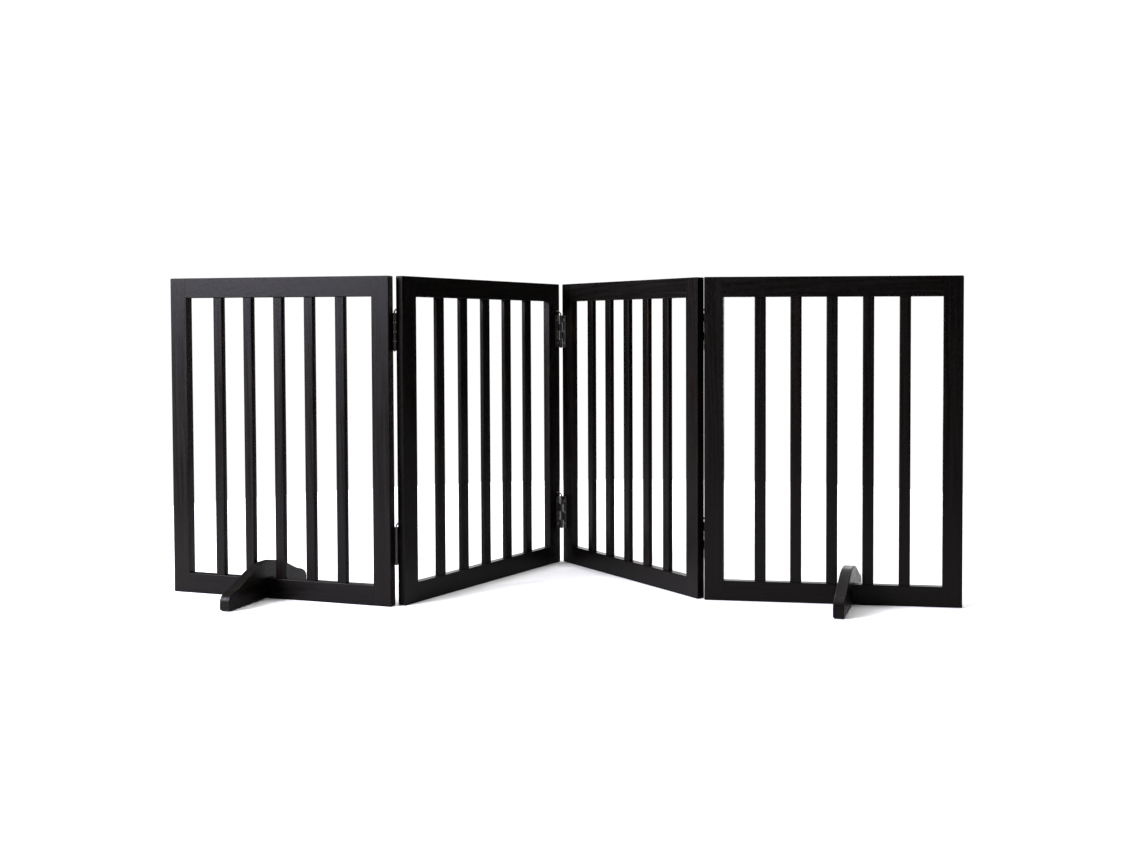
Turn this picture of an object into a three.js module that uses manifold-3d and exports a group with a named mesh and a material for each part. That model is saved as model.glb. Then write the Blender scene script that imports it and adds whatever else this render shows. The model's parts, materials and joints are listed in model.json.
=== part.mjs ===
// A free-standing folding pet gate. Four slatted wooden panels stand on edge in a zig-zag, joined end to end
// by three pairs of loose-pin hinges, and a slotted foot straddles the bottom rail of each end panel.
// Millimetres, +Z up, X from one end of the gate to the other, origin under the middle of the whole gate.
import * as THREE from 'three';
import { mergeVertices } from 'three/addons/utils/BufferGeometryUtils.js';
import Module from 'manifold-3d';

const wasm = await Module();
wasm.setup();

// ---- Panels ----
const PANEL_WIDTH = 480;
const PANEL_HEIGHT = 610;
const PANEL_THICKNESS = 16;
const STILE_WIDTH = 36.5;
const RAIL_HEIGHT = 38;
const EDGE_BEVEL = 1;
const PANEL_GAP = 0.4; // between the end faces of neighbours folded out flat

// ---- Bars ----
const BAR_COUNT = 5;
const BAR_WIDTH = 21;
const BAR_THICKNESS = 10.5;
const BAR_CORNER = 2.8;
const BAR_PITCH = 67.2;
const MORTISE_DEPTH = 8;

// ---- Stance: how each panel is turned about Z, and which face each corner's hinges are on ----
const PANEL_TURNS = [-10.5, 67.5, -44.5, -2.5];
const CORNERS = [
  { name: 'left', hingesOn: 'back', pinTailOver: 'right' },
  { name: 'middle', hingesOn: 'front', pinTailOver: 'left' },
  { name: 'right', hingesOn: 'back', pinTailOver: 'left' },
];

// ---- Hinges ----
const HINGE_HEIGHT = 70;
const LEAF_WIDTH = 16; // pin axis to free edge
const LEAF_THICKNESS = 1.4;
const LEAF_CORNER = 2;
const KNUCKLE_COUNT = 4;
const PIN_RADIUS = 1.5;
const PIN_OVERHANG = 1.5;
const PIN_NECK = 2; // straight stretch above the top knuckle
const TAIL_RADIUS = 1.4;
const TAIL_BEND = 5; // height of the bend above the neck
const TAIL_RISE = 8.5; // height of the tail's end above the neck
const TAIL_REACH = 17;
const HINGE_BELOW_TOP = 103; // panel top to the upper hinge's middle
const HINGE_ABOVE_FLOOR = 110; // floor to the lower hinge's middle

// ---- Hinge screw holes, countersunk ----
const SCREW_COUNT = 3;
const SCREW_HEAD_RADIUS = 3.2;
const SCREW_SHANK_RADIUS = 2;
const SCREW_END_MARGIN = 10;
const SCREW_EDGE_MARGIN = 6.2;

// ---- Feet ----
const FOOT_LENGTH = 250;
const FOOT_HEIGHT = 69;
const FOOT_THICKNESS = 20.5;
const FOOT_BEVEL = 1.5;
const NOSE_HEIGHT = 37; // top of the rounded end
const NOSE_CORNER = 31; // height that the rounding is drawn towards at the tip
const NOSE_DEPTH = 26; // how far in from the tip the rounding runs
const NOSE_FLAT = 16; // upright stretch of the tip
const HUMP_HALF_WIDTH = 8;
const LOWER_EASE = 0.18; // share of the slope's run drawn level with the nose
const UPPER_EASE = 0.38; // and with the hump
const TOE_RADIUS = 3; // under the tip
const PAD_LENGTH = 36;
const PAD_THICKNESS = 1.7;

// ---- Clearances ----
const SEAT_GAP = 0.3; // between faces that are glued or screwed together
const PIN_CLEARANCE = 0.3; // pin to bore, on the radius
const KNUCKLE_CLEARANCE = 0.3; // between knuckles, and leaf to the other leaf's knuckle
const SLOT_CLEARANCE = 0.4; // foot to rail, above
const SLOT_PLAY = 1.25; // foot to rail, each side, so that a foot can sit a little askew

// ---- Derived ----
const INNER_WIDTH = PANEL_WIDTH - 2 * STILE_WIDTH;
const INNER_HEIGHT = PANEL_HEIGHT - 2 * RAIL_HEIGHT;
const PANEL_MIDDLE = PANEL_WIDTH / 2;
const PANEL_CORE = PANEL_THICKNESS / 2;
const BORE_RADIUS = PIN_RADIUS + PIN_CLEARANCE;
const KNUCKLE_RADIUS = BORE_RADIUS + LEAF_THICKNESS;
const KNUCKLE_PITCH = HINGE_HEIGHT / KNUCKLE_COUNT;
const PIN_OFFSET = KNUCKLE_RADIUS + SEAT_GAP; // pin axis to the wood
const SLOT_TOP = RAIL_HEIGHT + SLOT_CLEARANCE;
const FOOT_BOTTOM = PAD_THICKNESS + SEAT_GAP;
const HINGE_MIDDLES = { upper: PANEL_HEIGHT - HINGE_BELOW_TOP, lower: HINGE_ABOVE_FLOOR };
const OVERCUT = 1; // how far a cutter runs past the face that it opens

// ---- Finishes ----
const wood = new THREE.MeshStandardMaterial({ color: 0x1b1613, roughness: 0.45, metalness: 0 });
const darkSteel = new THREE.MeshStandardMaterial({ color: 0x4a4640, roughness: 0.4, metalness: 0.8 });
const pinSteel = new THREE.MeshStandardMaterial({ color: 0x5a554d, roughness: 0.35, metalness: 0.85 });
const padRubber = new THREE.MeshStandardMaterial({ color: 0x0c0c0c, roughness: 0.9, metalness: 0 });

// ---- Joining and cutting ----
function toSolid(geometry) {
  const bare = geometry.clone();
  bare.deleteAttribute('normal');
  bare.deleteAttribute('uv');
  const merged = mergeVertices(bare);
  const mesh = new wasm.Mesh({
    numProp: 3,
    vertProperties: new Float32Array(merged.attributes.position.array),
    triVerts: new Uint32Array(merged.index.array),
  });
  return new wasm.Manifold(mesh);
}

function toGeometry(solid) {
  const { vertProperties, triVerts } = solid.getMesh();
  const geometry = new THREE.BufferGeometry();
  geometry.setAttribute('position', new THREE.BufferAttribute(new Float32Array(vertProperties), 3));
  geometry.setIndex(new THREE.BufferAttribute(new Uint32Array(triVerts), 1));
  return geometry;
}

function cut(geometry, cutters) {
  return toGeometry(cutters.reduce((left, cutter) => left.subtract(toSolid(cutter)), toSolid(geometry)));
}

function join(geometries) {
  return toGeometry(geometries.map(toSolid).reduce((all, next) => all.add(next)));
}

// ---- Outlines and simple shapes ----
function rectangle(width, height) {
  const x = width / 2;
  const y = height / 2;
  return new THREE.Shape([[-x, -y], [x, -y], [x, y], [-x, y]].map(([a, b]) => new THREE.Vector2(a, b)));
}

function roundedRectangle(width, height, radius) {
  const x = width / 2 - radius;
  const y = height / 2 - radius;
  const outline = new THREE.Shape();
  outline.absarc(x, y, radius, 0, Math.PI / 2);
  outline.absarc(-x, y, radius, Math.PI / 2, Math.PI);
  outline.absarc(-x, -y, radius, Math.PI, 1.5 * Math.PI);
  outline.absarc(x, -y, radius, 1.5 * Math.PI, 2 * Math.PI);
  return outline;
}

function prism(outline, depth, curveSegments = 2) {
  return new THREE.ExtrudeGeometry(outline, { depth, bevelEnabled: false, curveSegments });
}

// A prism whose two outline faces have bevelled edges.
function bevelledPrism(outline, depth, bevel, curveSegments = 2) {
  const straight = { depth: depth - 2 * bevel, bevelEnabled: true, bevelSegments: 1, curveSegments };
  const bevels = { bevelSize: bevel, bevelThickness: bevel, bevelOffset: -bevel };
  return new THREE.ExtrudeGeometry(outline, { ...straight, ...bevels }).translate(0, 0, bevel);
}

// An upright cylinder, or a cone where the two radii differ.
function upright(bottomRadius, topRadius, bottom, top, sides) {
  const shape = new THREE.CylinderGeometry(topRadius, bottomRadius, top - bottom, sides);
  return shape.rotateX(Math.PI / 2).translate(0, 0, (top + bottom) / 2);
}

function namedMesh(name, geometry, material) {
  const mesh = new THREE.Mesh(geometry, material);
  mesh.name = name;
  return mesh;
}

// ---- One panel: x along it, y from its front face to its back face, z up ----
const barCentres = Array.from({ length: BAR_COUNT }, (_, i) => (
  PANEL_MIDDLE + (i - (BAR_COUNT - 1) / 2) * BAR_PITCH
));

function stile(centre) {
  const board = bevelledPrism(rectangle(STILE_WIDTH, PANEL_HEIGHT), PANEL_THICKNESS, EDGE_BEVEL);
  return board.rotateX(Math.PI / 2).translate(centre, PANEL_THICKNESS, PANEL_HEIGHT / 2);
}

// A rail between the stiles, bevelled along its four long edges, with a mortise for each bar on its inner edge.
function rail(bottom, mortiseBottom) {
  const x = PANEL_CORE;
  const y = RAIL_HEIGHT / 2;
  const corners = [
    [-x + EDGE_BEVEL, -y], [x - EDGE_BEVEL, -y], [x, -y + EDGE_BEVEL], [x, y - EDGE_BEVEL],
    [x - EDGE_BEVEL, y], [-x + EDGE_BEVEL, y], [-x, y - EDGE_BEVEL], [-x, -y + EDGE_BEVEL],
  ];
  const section = new THREE.Shape(corners.map(([a, b]) => new THREE.Vector2(a, b)));
  const length = INNER_WIDTH - 2 * SEAT_GAP;
  const board = prism(section, length).rotateX(Math.PI / 2).rotateZ(Math.PI / 2);
  board.translate(STILE_WIDTH + SEAT_GAP, PANEL_CORE, bottom + y);
  const mouth = roundedRectangle(
    BAR_WIDTH + 2 * SEAT_GAP, BAR_THICKNESS + 2 * SEAT_GAP, BAR_CORNER + SEAT_GAP,
  );
  const mortises = barCentres.map((centre) => (
    prism(mouth, MORTISE_DEPTH + OVERCUT).translate(centre, PANEL_CORE, mortiseBottom)
  ));
  return cut(board, mortises);
}

function bar(centre) {
  const tenon = MORTISE_DEPTH - SEAT_GAP;
  const outline = roundedRectangle(BAR_WIDTH, BAR_THICKNESS, BAR_CORNER);
  return prism(outline, INNER_HEIGHT + 2 * tenon).translate(centre, PANEL_CORE, RAIL_HEIGHT - tenon);
}

function panel(number) {
  const group = new THREE.Group();
  const topRailBottom = PANEL_HEIGHT - RAIL_HEIGHT;
  const add = (name, geometry) => group.add(namedMesh(`panel_${number}_${name}`, geometry, wood));
  add('left_stile', stile(STILE_WIDTH / 2));
  add('right_stile', stile(PANEL_WIDTH - STILE_WIDTH / 2));
  add('top_rail', rail(topRailBottom, topRailBottom - OVERCUT));
  add('bottom_rail', rail(0, RAIL_HEIGHT - MORTISE_DEPTH));
  barCentres.forEach((centre, i) => add(`bar_${i + 1}`, bar(centre)));
  return group;
}

// ---- One hinge: pin axis on z, x along the wood, y away from it, z = 0 at mid-height ----
const screwHeights = Array.from({ length: SCREW_COUNT }, (_, i) => {
  const span = HINGE_HEIGHT - 2 * SCREW_END_MARGIN;
  return (i / (SCREW_COUNT - 1) - 0.5) * span;
});

// The knuckles from bottom to top, taken by the two leaves in turn.
function knuckleSpan(i) {
  const bottom = -HINGE_HEIGHT / 2 + i * KNUCKLE_PITCH;
  return [bottom + KNUCKLE_CLEARANCE / 2, bottom + KNUCKLE_PITCH - KNUCKLE_CLEARANCE / 2];
}

// The leaf on the +x side, with the lowest knuckle and every second one above it. The leaf on the other side
// is the same piece turned end for end, which puts its knuckles in the spaces between these.
function leaf() {
  const half = HINGE_HEIGHT / 2;
  const root = KNUCKLE_RADIUS + KNUCKLE_CLEARANCE;
  const outline = new THREE.Shape();
  outline.moveTo(root, -half);
  outline.lineTo(LEAF_WIDTH - LEAF_CORNER, -half);
  outline.absarc(LEAF_WIDTH - LEAF_CORNER, -half + LEAF_CORNER, LEAF_CORNER, -Math.PI / 2, 0);
  outline.absarc(LEAF_WIDTH - LEAF_CORNER, half - LEAF_CORNER, LEAF_CORNER, 0, Math.PI / 2);
  outline.lineTo(root, half);
  const plate = prism(outline, LEAF_THICKNESS, 3);
  const pieces = [plate];
  for (let i = 0; i < KNUCKLE_COUNT; i += 2) {
    const [bottom, top] = knuckleSpan(i);
    const strap = prism(rectangle(root + OVERCUT, top - bottom), LEAF_THICKNESS);
    pieces.push(strap.translate((root + OVERCUT) / 2, (top + bottom) / 2, 0));
  }
  pieces.forEach((piece) => piece.rotateX(Math.PI / 2).translate(0, LEAF_THICKNESS - KNUCKLE_RADIUS, 0));
  for (let i = 0; i < KNUCKLE_COUNT; i += 2) {
    pieces.push(upright(KNUCKLE_RADIUS, KNUCKLE_RADIUS, ...knuckleSpan(i), 12));
  }
  const bore = upright(BORE_RADIUS, BORE_RADIUS, -half - OVERCUT, half + OVERCUT, 10);
  const holes = screwHeights.map((height) => {
    const hole = upright(SCREW_SHANK_RADIUS, SCREW_HEAD_RADIUS, 0, LEAF_THICKNESS, 8);
    hole.rotateX(-Math.PI / 2);
    return hole.translate(LEAF_WIDTH - SCREW_EDGE_MARGIN, -KNUCKLE_RADIUS, height);
  });
  return cut(join(pieces), [bore, ...holes]);
}

// The pin: a straight shaft through the knuckles, with its top bent over into a tail along +x.
function pin() {
  const half = HINGE_HEIGHT / 2;
  const neckTop = half + PIN_NECK;
  const shaft = upright(PIN_RADIUS, PIN_RADIUS, -half - PIN_OVERHANG, neckTop, 8);
  const bend = new THREE.QuadraticBezierCurve3(
    new THREE.Vector3(0, 0, neckTop - OVERCUT),
    new THREE.Vector3(0, 0, neckTop + TAIL_BEND),
    new THREE.Vector3(TAIL_REACH, 0, neckTop + TAIL_RISE),
  );
  const ring = new THREE.Shape();
  ring.absarc(0, 0, TAIL_RADIUS, 0, 2 * Math.PI);
  const tail = new THREE.ExtrudeGeometry(ring, { extrudePath: bend, steps: 6, curveSegments: 4 });
  return join([shaft, tail]);
}

// ---- One foot: x across the board, y along it, middle of the slot at x = y = 0 ----
function foot() {
  const tip = FOOT_LENGTH / 2;
  const shoulder = tip - NOSE_DEPTH;
  const outline = new THREE.Shape();
  const toe = FOOT_BOTTOM + TOE_RADIUS;
  outline.moveTo(-tip, toe);
  outline.absarc(-tip + TOE_RADIUS, toe, TOE_RADIUS, Math.PI, 1.5 * Math.PI);
  outline.absarc(tip - TOE_RADIUS, toe, TOE_RADIUS, 1.5 * Math.PI, 2 * Math.PI);
  outline.lineTo(tip, NOSE_FLAT);
  outline.quadraticCurveTo(tip, NOSE_CORNER, shoulder, NOSE_HEIGHT);
  const run = shoulder - HUMP_HALF_WIDTH;
  const upper = HUMP_HALF_WIDTH + UPPER_EASE * run;
  const lower = shoulder - LOWER_EASE * run;
  const lowerHeight = NOSE_HEIGHT + (NOSE_HEIGHT - NOSE_CORNER) * LOWER_EASE * run / NOSE_DEPTH;
  outline.bezierCurveTo(lower, lowerHeight, upper, FOOT_HEIGHT, HUMP_HALF_WIDTH, FOOT_HEIGHT);
  outline.lineTo(-HUMP_HALF_WIDTH, FOOT_HEIGHT);
  outline.bezierCurveTo(-upper, FOOT_HEIGHT, -lower, lowerHeight, -shoulder, NOSE_HEIGHT);
  outline.quadraticCurveTo(-tip, NOSE_CORNER, -tip, NOSE_FLAT);
  const board = bevelledPrism(outline, FOOT_THICKNESS, FOOT_BEVEL, 6);
  board.rotateX(Math.PI / 2).rotateZ(Math.PI / 2).translate(-FOOT_THICKNESS / 2, 0, 0);
  const slotWidth = PANEL_THICKNESS + 2 * SLOT_PLAY;
  const slotHeight = SLOT_TOP - FOOT_BOTTOM + OVERCUT;
  const slot = new THREE.BoxGeometry(FOOT_THICKNESS + 2 * OVERCUT, slotWidth, slotHeight);
  slot.translate(0, 0, SLOT_TOP - slotHeight / 2);
  return cut(board, [slot]);
}

function pad(end) {
  const block = new THREE.BoxGeometry(FOOT_THICKNESS - 2 * FOOT_BEVEL, PAD_LENGTH, PAD_THICKNESS);
  return block.translate(0, end * (FOOT_LENGTH / 2 - TOE_RADIUS - PAD_LENGTH / 2), PAD_THICKNESS / 2);
}

function footAssembly(name) {
  const group = new THREE.Group();
  group.add(namedMesh(name, foot(), wood));
  group.add(namedMesh(`${name}_front_pad`, pad(-1), padRubber));
  group.add(namedMesh(`${name}_back_pad`, pad(1), padRubber));
  return group;
}

// ---- Assembly ----
// Where a panel's hinge axis is in that panel's own plan, at its left or right end.
function hingeAxis(corner, end) {
  const along = end === 'left' ? -PANEL_GAP / 2 : PANEL_WIDTH + PANEL_GAP / 2;
  return new THREE.Vector3(along, corner.hingesOn === 'back' ? PANEL_THICKNESS + PIN_OFFSET : -PIN_OFFSET, 0);
}

// A place to hang a hinge's pieces at the end of a panel. On a front face the hinge is turned half round, so
// its +x side is the left panel's, and on a back face it is the right panel's.
function hingePlace(panelGroup, corner, end, middle) {
  const place = new THREE.Group();
  place.position.copy(hingeAxis(corner, end)).setZ(middle);
  place.rotation.z = corner.hingesOn === 'back' ? 0 : Math.PI;
  panelGroup.add(place);
  return place;
}

const gate = new THREE.Group();
const panels = PANEL_TURNS.map((turn, i) => {
  const group = panel(i + 1);
  group.rotation.z = THREE.MathUtils.degToRad(turn);
  gate.add(group);
  return group;
});

CORNERS.forEach((corner, i) => {
  const [leftPanel, rightPanel] = [panels[i], panels[i + 1]];
  const axis = hingeAxis(corner, 'right').applyEuler(leftPanel.rotation).add(leftPanel.position);
  rightPanel.position.copy(axis).sub(hingeAxis(corner, 'left').applyEuler(rightPanel.rotation));
  const plainSide = corner.hingesOn === 'back' ? 'right' : 'left';
  for (const [height, middle] of Object.entries(HINGE_MIDDLES)) {
    const name = `${corner.name}_${height}_hinge`;
    const places = {
      left: hingePlace(leftPanel, corner, 'right', middle),
      right: hingePlace(rightPanel, corner, 'left', middle),
    };
    for (const [side, place] of Object.entries(places)) {
      const leafMesh = namedMesh(`${name}_${side}_leaf`, leaf(), darkSteel);
      leafMesh.rotation.y = side === plainSide ? 0 : Math.PI;
      place.add(leafMesh);
    }
    const pinMesh = namedMesh(`${name}_pin`, pin(), pinSteel);
    pinMesh.rotation.z = corner.pinTailOver === plainSide ? 0 : Math.PI;
    places[corner.pinTailOver].add(pinMesh);
  }
});

// Each end panel has its foot in the gap beside its middle bar, on the side away from its hinges, nudged
// along the rail and turned a little by hand.
const FEET = [
  { name: 'left_foot', on: panels[0], along: PANEL_MIDDLE - BAR_PITCH / 2 - 4, askew: 4 },
  { name: 'right_foot', on: panels[3], along: PANEL_MIDDLE + BAR_PITCH / 2 - 3, askew: -5 },
];
for (const { name, on, along, askew } of FEET) {
  const group = footAssembly(name);
  group.rotation.z = THREE.MathUtils.degToRad(askew);
  group.position.set(along, PANEL_CORE, 0);
  on.add(group);
}

// Centre the whole gate over the origin, standing on z = 0.
gate.updateMatrixWorld(true);
const extent = new THREE.Box3().setFromObject(gate, true);
const centre = extent.getCenter(new THREE.Vector3());
panels.forEach((group) => group.position.sub(new THREE.Vector3(centre.x, centre.y, extent.min.z)));

export default gate;
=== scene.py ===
"""A free-standing pet gate: four slatted wooden panels, hinged in a zigzag, on two slotted feet.

The pieces are made in the order in which the gate is put together. Lengths are in metres, and a
panel is drawn upright about the middle of its width and thickness before it is set in its place.
"""

import json
import math

import bmesh
import bpy
from mathutils import Matrix, Vector


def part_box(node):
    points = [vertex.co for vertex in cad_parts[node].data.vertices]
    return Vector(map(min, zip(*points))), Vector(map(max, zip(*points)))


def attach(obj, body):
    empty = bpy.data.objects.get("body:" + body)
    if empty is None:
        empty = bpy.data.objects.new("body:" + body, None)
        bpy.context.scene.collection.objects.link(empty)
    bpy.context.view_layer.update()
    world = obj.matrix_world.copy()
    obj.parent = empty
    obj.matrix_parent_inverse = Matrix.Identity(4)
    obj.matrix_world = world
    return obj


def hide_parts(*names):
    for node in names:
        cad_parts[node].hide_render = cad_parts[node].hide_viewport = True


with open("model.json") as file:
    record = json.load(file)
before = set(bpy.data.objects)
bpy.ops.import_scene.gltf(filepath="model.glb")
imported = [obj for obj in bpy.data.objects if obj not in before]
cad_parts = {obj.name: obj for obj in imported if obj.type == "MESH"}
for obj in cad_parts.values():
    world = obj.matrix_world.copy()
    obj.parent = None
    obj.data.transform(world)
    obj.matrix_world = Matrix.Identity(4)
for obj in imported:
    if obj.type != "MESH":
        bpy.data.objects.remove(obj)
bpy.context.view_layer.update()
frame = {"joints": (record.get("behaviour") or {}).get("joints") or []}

MM = 0.001

# ---------------------------------------------------------------------------------------------
# Bars. Each panel has five flat hardwood slats with rounded edges, planed from one long strip,
# stained near black and set upright in shallow mortises in the two rails.

PANEL_TURN = {"panel_1": -10.5, "panel_2": 67.5, "panel_3": -44.5, "panel_4": -2.5}
PANEL_WIDTH = 480 * MM
PANEL_HEIGHT = 610 * MM
PANEL_THICKNESS = 16 * MM
RAIL_HEIGHT = 38 * MM
BAR_COUNT = 5
BAR_PITCH = 67.2 * MM
BAR_WIDTH = 21 * MM
BAR_THICKNESS = 10.5 * MM
BAR_ROUNDING = 2.8 * MM
BAR_ROUNDING_STEPS = 6
BAR_TENON = 7.8 * MM
# Above 50, the large flats count for more than the roundings when a surface is faired.
FLATS_WEIGHT = 80
# Every board has its own number, which picks its figure and tone. Each panel starts a new ten.
BOARDS_PER_PANEL = 10.0
FIRST_BAR_BOARD = 1


class Wire:
    """A value that leaves a node. Sums on it, such as 1 - wire, add the Math nodes for them."""

    def __init__(self, recipe, socket):
        self.recipe = recipe
        self.socket = socket

    def reckon(self, operation, first, second):
        return self.recipe.node("ShaderNodeMath", {"operation": operation}, {0: first, 1: second})

    def __add__(self, other):
        return self.reckon("ADD", self, other)

    def __radd__(self, other):
        return self.reckon("ADD", other, self)

    def __sub__(self, other):
        return self.reckon("SUBTRACT", self, other)

    def __rsub__(self, other):
        return self.reckon("SUBTRACT", other, self)

    def __mul__(self, other):
        return self.reckon("MULTIPLY", self, other)

    def __rmul__(self, other):
        return self.reckon("MULTIPLY", other, self)

    def __truediv__(self, other):
        return self.reckon("DIVIDE", self, other)

    def __rtruediv__(self, other):
        return self.reckon("DIVIDE", other, self)


class Recipe:
    """A tree of nodes in the making, for a finish or for a row of like pieces."""

    def __init__(self, tree):
        self.tree = tree

    def node(self, kind, settings=None, sockets=None, out=0):
        """Adds a node: its settings first, then what its sockets hold or are fed by."""
        made = self.tree.nodes.new(kind)
        for name, value in (settings or {}).items():
            setattr(made, name, value)
        for key, value in (sockets or {}).items():
            for fed in value if isinstance(value, list) else [value]:
                if isinstance(fed, Wire):
                    self.tree.links.new(fed.socket, made.inputs[key])
                else:
                    made.inputs[key].default_value = fed
        return Wire(self, made.outputs[out]) if len(made.outputs) else made

    def size(self, name):
        """One of the sizes that the tree asks for."""
        return self.node("NodeGroupInput", out=name)

    def blend(self, share, first, second):
        """A colour between two, by share."""
        return self.node(
            "ShaderNodeMix",
            {"data_type": "RGBA", "clamp_factor": True},
            {0: share, 6: first, 7: second},
            out=2,
        )

    def stretched(self, place, across, through, along):
        """A place scaled along each axis, so that a pattern on it is drawn out."""
        return self.node(
            "ShaderNodeVectorMath", {"operation": "MULTIPLY"}, {0: place, 1: (across, through, along)}
        )

    def noise(self, place, scale, detail=2.0, roughness=0.5):
        """A cloudy pattern from 0 to 1 at a place."""
        return self.node(
            "ShaderNodeTexNoise",
            {"noise_dimensions": "3D"},
            {"Vector": place, "Scale": scale, "Detail": detail, "Roughness": roughness},
        )

    def band(self, value, low, high):
        """0 below low, 1 above high, with a soft step between."""
        return self.node(
            "ShaderNodeMapRange",
            {"interpolation_type": "SMOOTHSTEP", "clamp": True},
            {"Value": value, "From Min": low, "From Max": high},
        )


def open_finish(name):
    """A new finish with an empty tree."""
    finish = bpy.data.materials.new(name)
    finish.use_nodes = True
    finish.node_tree.nodes.clear()
    return finish, Recipe(finish.node_tree)


def close_finish(recipe, height, depth, **sockets):
    """Feeds the shader, with height as its bumps, and ends the tree."""
    bump = recipe.node("ShaderNodeBump", {}, {"Strength": 1.0, "Distance": depth, "Height": height})
    feeds = {name.replace("_", " "): value for name, value in sockets.items()}
    shader = recipe.node("ShaderNodeBsdfPrincipled", {}, {**feeds, "Normal": bump})
    recipe.node("ShaderNodeOutputMaterial", {}, {"Surface": shader})


def stained_wood():
    """Espresso stain under satin lacquer: streaks of the grain just show, and edges are rubbed."""
    finish, recipe = open_finish("espresso_stained_wood")
    grain = recipe.node("ShaderNodeAttribute", {"attribute_name": "grain"}, out="Vector")
    board = recipe.node("ShaderNodeAttribute", {"attribute_name": "board"}, out="Fac")
    edge = recipe.node("ShaderNodeAttribute", {"attribute_name": "edge"}, out="Fac")
    aside = recipe.node("ShaderNodeCombineXYZ", {}, {0: board * 0.37, 1: board * 0.19, 2: board * 0.83})
    place = recipe.node("ShaderNodeVectorMath", {"operation": "ADD"}, {0: grain, 1: aside})

    sway = recipe.noise(recipe.stretched(place, 9, 9, 1.6), 1.0, 2, 0.5)
    drift = recipe.node("ShaderNodeCombineXYZ", {}, {0: sway * 0.05, 1: sway * 0.03, 2: 0.0})
    swayed = recipe.node("ShaderNodeVectorMath", {"operation": "ADD"}, {0: place, 1: drift})
    rings = recipe.noise(recipe.stretched(swayed, 210, 90, 2.6), 1.0, 3, 0.55)
    streaks = recipe.noise(recipe.stretched(swayed, 620, 620, 7), 1.0, 4, 0.6)
    fibres = recipe.noise(recipe.stretched(place, 2600, 2600, 46), 1.0, 2, 0.6)
    pores = recipe.band(recipe.noise(recipe.stretched(place, 1900, 1900, 90), 1.0, 1, 0.4), 0.60, 0.70)
    cloud = recipe.noise(place, 14.0, 3, 0.55)
    brush = recipe.noise(recipe.stretched(place, 60, 60, 22), 1.0, 3, 0.6)

    figure = recipe.band(rings * 0.6 + streaks * 0.4, 0.36, 0.66)
    stain = recipe.blend(figure, (0.0008, 0.0005, 0.0004, 1), (0.0026, 0.0015, 0.0009, 1))
    shuffled = board * 0.618
    whole = recipe.node("ShaderNodeMath", {"operation": "FLOOR"}, {0: shuffled})
    tone = recipe.band(shuffled - whole, 0.0, 1.0)
    stain = recipe.blend(tone * 0.35, stain, (0.0036, 0.0020, 0.0012, 1))
    stain = recipe.blend(recipe.band(cloud, 0.45, 0.75) * 0.35, stain, (0.0009, 0.0008, 0.0008, 1))
    stain = recipe.blend(pores * 0.6, stain, (0.0004, 0.0003, 0.0003, 1))
    rubbed = edge * recipe.band(brush, 0.48, 0.72)
    stain = recipe.blend(rubbed * 0.55, stain, (0.0200, 0.0112, 0.0062, 1))

    sheen = 0.20 + figure * 0.16 + cloud * 0.12 + fibres * 0.08 + pores * 0.10
    height = fibres * 0.35 + streaks * 0.30 + brush * 0.35 - pores * 0.55
    close_finish(
        recipe, height, 0.00010, Base_Color=stain, Roughness=sheen, IOR=1.46, Specular_IOR_Level=0.10
    )
    return finish


def ask_for(tree, **sizes):
    """Makes a tree ask for these sizes, each with what it starts from, and give a mesh."""
    for name, value in sizes.items():
        kind = "NodeSocketInt" if isinstance(value, int) else "NodeSocketFloat"
        socket = tree.interface.new_socket(name.replace("_", " "), in_out="INPUT", socket_type=kind)
        socket.default_value = value
    tree.interface.new_socket("Geometry", in_out="OUTPUT", socket_type="NodeSocketGeometry")


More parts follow.
